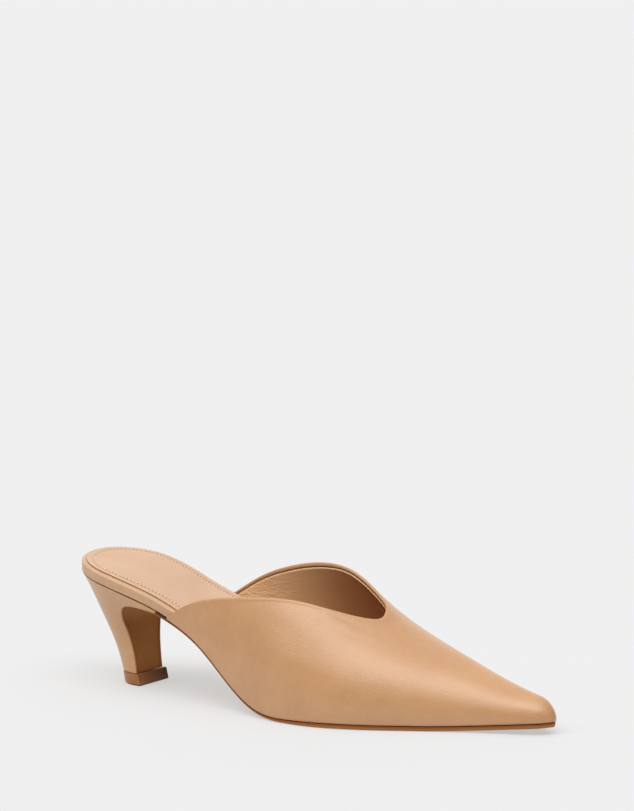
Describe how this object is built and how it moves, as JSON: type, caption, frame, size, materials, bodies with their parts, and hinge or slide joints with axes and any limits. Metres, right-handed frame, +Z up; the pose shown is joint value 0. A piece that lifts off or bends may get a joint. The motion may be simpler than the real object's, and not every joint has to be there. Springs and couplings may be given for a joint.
{
  "type": "mule shoe",
  "caption": "Right backless mule in smooth tan leather: pointed closed vamp with a curved dipped topline, padded footbed with wrapped edge, and a flared mid heel with a brown tip.",
  "frame": {"origin": "on the floor under the middle of the shoe's bounding box", "axes": "+X from the heel towards the toe, +Y towards the inner (medial) side of this right shoe, +Z up"},
  "size_m": [0.2524, 0.081, 0.064],
  "materials": {
    "vamp_leather": "smooth satin nappa, tan",
    "heel_leather": "smooth satin nappa, tan",
    "rim_leather": "smooth leather, tan",
    "sock_leather": "fine-grained lining leather, pale tan",
    "sole_leather": "brown sole leather, edge stained darker",
    "heel_tip": "glossy brown top piece"
  },
  "bodies": {
    "root": {"outsole": "sole_leather", "heel": "heel_leather", "heel_cap": "heel_tip", "insole_board": "rim_leather", "insole_sock": "sock_leather", "upper": "vamp_leather"}
  },
  "joints": []
}
